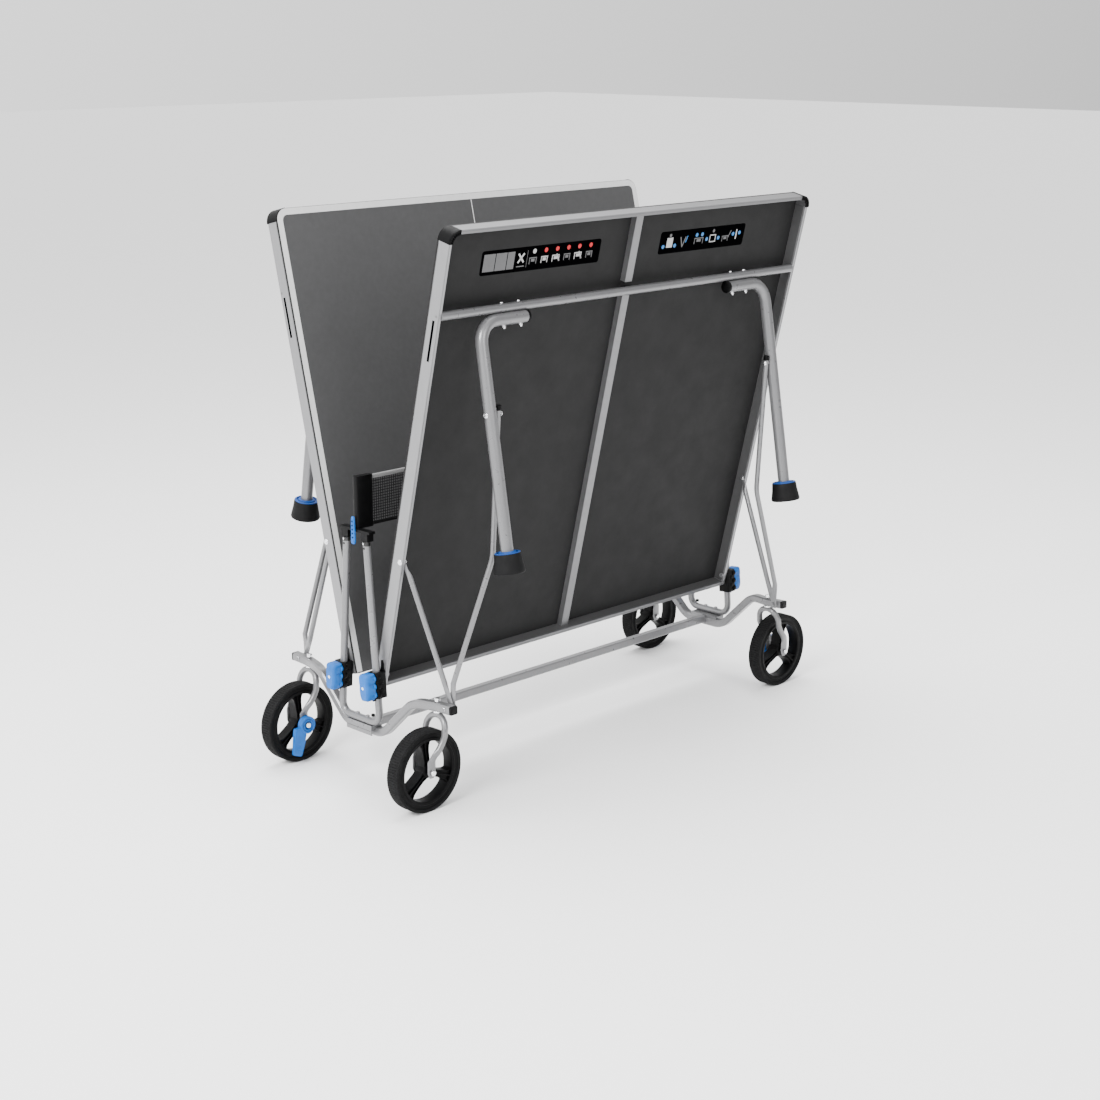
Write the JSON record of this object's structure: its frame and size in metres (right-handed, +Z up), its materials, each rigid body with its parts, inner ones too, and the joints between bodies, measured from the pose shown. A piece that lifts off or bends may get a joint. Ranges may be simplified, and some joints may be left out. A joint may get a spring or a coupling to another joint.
{
  "type": "folding ping pong table",
  "caption": "Outdoor ping pong table folded for storage on swivel casters, halves upright on sliding carriages with folding legs, arms, braces and a net.",
  "frame": {"origin": "on the floor, in the middle of the four casters", "axes": "+X along the net towards the right end, +Y across the net towards the far half, +Z up"},
  "size_m": [1.834, 0.9962, 1.6579],
  "materials": {
    "silver_paint": "satin silver-grey powder coat",
    "slate_laminate": "matt dark grey laminate",
    "black_plastic": "matt black moulding",
    "black_rubber": "matt black",
    "tyre_rubber": "matt dark grey tread",
    "blue_plastic": "satin blue moulding",
    "net_mesh": "black woven mesh with a pale tape"
  },
  "bodies": {
    "chassis": {"end_frame_left": "silver_paint", "post_tube_left": "silver_paint", "net_post_left": "black_plastic", "end_frame_right": "silver_paint", "post_tube_right": "silver_paint", "net_post_right": "black_plastic", "centre_rail": "silver_paint", "net": "net_mesh"},
    "net_lever_left": {"net_lever_left": "blue_plastic"},
    "net_lever_right": {"net_lever_right": "blue_plastic"},
    "near_top": {"near_board": "slate_laminate", "near_net_rail": "silver_paint", "near_outer_rail": "silver_paint", "near_side_rail_left": "silver_paint", "near_side_rail_right": "silver_paint"},
    "near_legs": {"near_cross_tube": "silver_paint", "near_leg_left": "silver_paint", "near_foot_left": "black_rubber", "near_leg_right": "silver_paint", "near_foot_right": "black_rubber"},
    "near_arms": {"near_arm_left": "silver_paint", "near_arm_right": "silver_paint"},
    "near_braces": {"near_brace_left": "silver_paint", "near_brace_right": "silver_paint"},
    "near_carriage": {"near_slider_left": "black_plastic", "near_slider_right": "black_plastic"},
    "near_knob_left": {"near_knob_left": "blue_plastic"},
    "near_knob_right": {"near_knob_right": "blue_plastic"},
    "far_top": {"far_board": "slate_laminate", "far_net_rail": "silver_paint", "far_outer_rail": "silver_paint", "far_side_rail_left": "silver_paint", "far_side_rail_right": "silver_paint"},
    "far_legs": {"far_cross_tube": "silver_paint", "far_leg_left": "silver_paint", "far_foot_left": "black_rubber", "far_leg_right": "silver_paint", "far_foot_right": "black_rubber"},
    "far_arms": {"far_arm_left": "silver_paint", "far_arm_right": "silver_paint"},
    "far_braces": {"far_brace_left": "silver_paint", "far_brace_right": "silver_paint"},
    "far_carriage": {"far_slider_left": "black_plastic", "far_slider_right": "black_plastic"},
    "far_knob_left": {"far_knob_left": "blue_plastic"},
    "far_knob_right": {"far_knob_right": "blue_plastic"},
    "near_left_swivel": {"near_left_fork": "silver_paint"},
    "near_left_wheel": {"near_left_rim": "black_plastic", "near_left_tyre": "tyre_rubber"},
    "near_right_swivel": {"near_right_fork": "silver_paint"},
    "near_right_wheel": {"near_right_rim": "black_plastic", "near_right_tyre": "tyre_rubber"},
    "near_right_brake": {"near_right_brake_lever": "blue_plastic"},
    "far_left_swivel": {"far_left_fork": "silver_paint"},
    "far_left_wheel": {"far_left_rim": "black_plastic", "far_left_tyre": "tyre_rubber"},
    "far_left_brake": {"far_left_brake_lever": "blue_plastic"},
    "far_right_swivel": {"far_right_fork": "silver_paint"},
    "far_right_wheel": {"far_right_rim": "black_plastic", "far_right_tyre": "tyre_rubber"}
  },
  "joints": [
    {"name": "net_lever_left_flip", "type": "hinge", "parent": "chassis", "child": "net_lever_left", "pos_m": [-0.7945, 0, 0.745], "axis": [0, -1, 0], "range_deg": [0, 80]},
    {"name": "net_lever_right_flip", "type": "hinge", "parent": "chassis", "child": "net_lever_right", "pos_m": [0.7945, 0, 0.745], "axis": [0, 1, 0], "range_deg": [0, 80]},
    {"name": "near_rise", "type": "slide", "parent": "chassis", "child": "near_carriage", "axis": [0, 0.0772, 0.997], "range_m": [0, 0.3813]},
    {"name": "near_fold", "type": "hinge", "parent": "near_carriage", "child": "near_top", "pos_m": [0, -0.08037, 0.34909], "axis": [1, 0, 0], "range_deg": [0, 76.71]},
    {"name": "near_leg_swing", "type": "hinge", "parent": "near_top", "child": "near_legs", "pos_m": [0, -0.33513, 1.41549], "axis": [-1, 0, 0], "range_deg": [0, 68.29]},
    {"name": "near_arm_swing", "type": "hinge", "parent": "chassis", "child": "near_arms", "pos_m": [0, -0.331, 0.303], "axis": [1, 0, 0], "range_deg": [0, 33.69]},
    {"name": "near_brace_swing", "type": "hinge", "parent": "chassis", "child": "near_braces", "pos_m": [0, -0.331, 0.303], "axis": [1, 0, 0], "range_deg": [0, 76.88]},
    {"name": "near_knob_left_turn", "type": "hinge", "parent": "near_carriage", "child": "near_knob_left", "pos_m": [-0.8, -0.0761, 0.32388], "axis": [-1, 0, 0], "range_deg": [0, 90]},
    {"name": "near_knob_right_turn", "type": "hinge", "parent": "near_carriage", "child": "near_knob_right", "pos_m": [0.8, -0.0761, 0.32388], "axis": [1, 0, 0], "range_deg": [0, 90]},
    {"name": "far_rise", "type": "slide", "parent": "chassis", "child": "far_carriage", "axis": [0, -0.0772, 0.997], "range_m": [0, 0.3813]},
    {"name": "far_fold", "type": "hinge", "parent": "far_carriage", "child": "far_top", "pos_m": [0, 0.08037, 0.34909], "axis": [-1, 0, 0], "range_deg": [0, 76.71]},
    {"name": "far_leg_swing", "type": "hinge", "parent": "far_top", "child": "far_legs", "pos_m": [0, 0.33513, 1.41549], "axis": [1, 0, 0], "range_deg": [0, 68.29]},
    {"name": "far_arm_swing", "type": "hinge", "parent": "chassis", "child": "far_arms", "pos_m": [0, 0.331, 0.303], "axis": [-1, 0, 0], "range_deg": [0, 33.69]},
    {"name": "far_brace_swing", "type": "hinge", "parent": "chassis", "child": "far_braces", "pos_m": [0, 0.331, 0.303], "axis": [-1, 0, 0], "range_deg": [0, 76.88]},
    {"name": "far_knob_left_turn", "type": "hinge", "parent": "far_carriage", "child": "far_knob_left", "pos_m": [-0.8, 0.0761, 0.32388], "axis": [-1, 0, 0], "range_deg": [0, 90]},
    {"name": "far_knob_right_turn", "type": "hinge", "parent": "far_carriage", "child": "far_knob_right", "pos_m": [0.8, 0.0761, 0.32388], "axis": [1, 0, 0], "range_deg": [0, 90]},
    {"name": "near_left_steer", "type": "hinge", "parent": "chassis", "child": "near_left_swivel", "pos_m": [-0.741, -0.29, 0.28], "axis": [0, 0, 1], "continuous": true},
    {"name": "near_left_roll", "type": "hinge", "parent": "near_left_swivel", "child": "near_left_wheel", "pos_m": [-0.795, -0.29, 0.122], "axis": [0, 1, 0], "continuous": true},
    {"name": "near_right_steer", "type": "hinge", "parent": "chassis", "child": "near_right_swivel", "pos_m": [0.741, -0.29, 0.28], "axis": [0, 0, 1], "continuous": true},
    {"name": "near_right_roll", "type": "hinge", "parent": "near_right_swivel", "child": "near_right_wheel", "pos_m": [0.795, -0.29, 0.122], "axis": [0, 1, 0], "continuous": true},
    {"name": "near_right_brake_press", "type": "hinge", "parent": "near_right_swivel", "child": "near_right_brake", "pos_m": [0.795, -0.29, 0.122], "axis": [0, 1, 0], "range_deg": [0, 65]},
    {"name": "far_left_steer", "type": "hinge", "parent": "chassis", "child": "far_left_swivel", "pos_m": [-0.741, 0.29, 0.28], "axis": [0, 0, 1], "continuous": true},
    {"name": "far_left_roll", "type": "hinge", "parent": "far_left_swivel", "child": "far_left_wheel", "pos_m": [-0.795, 0.29, 0.122], "axis": [0, 1, 0], "continuous": true},
    {"name": "far_left_brake_press", "type": "hinge", "parent": "far_left_swivel", "child": "far_left_brake", "pos_m": [-0.795, 0.29, 0.122], "axis": [0, 1, 0], "range_deg": [0, 65]},
    {"name": "far_right_steer", "type": "hinge", "parent": "chassis", "child": "far_right_swivel", "pos_m": [0.741, 0.29, 0.28], "axis": [0, 0, 1], "continuous": true},
    {"name": "far_right_roll", "type": "hinge", "parent": "far_right_swivel", "child": "far_right_wheel", "pos_m": [0.795, 0.29, 0.122], "axis": [0, 1, 0], "continuous": true}
  ],
  "couplings": [
    {"joint": "near_rise", "follows": "near_fold", "m_per_rad": 0.28479},
    {"joint": "near_leg_swing", "follows": "near_fold", "ratio": 0.89023},
    {"joint": "near_arm_swing", "follows": "near_fold", "ratio": 0.43918},
    {"joint": "near_brace_swing", "follows": "near_fold", "ratio": 1.0022},
    {"joint": "far_rise", "follows": "far_fold", "m_per_rad": 0.28479},
    {"joint": "far_leg_swing", "follows": "far_fold", "ratio": 0.89023},
    {"joint": "far_arm_swing", "follows": "far_fold", "ratio": 0.43918},
    {"joint": "far_brace_swing", "follows": "far_fold", "ratio": 1.0022}
  ]
}
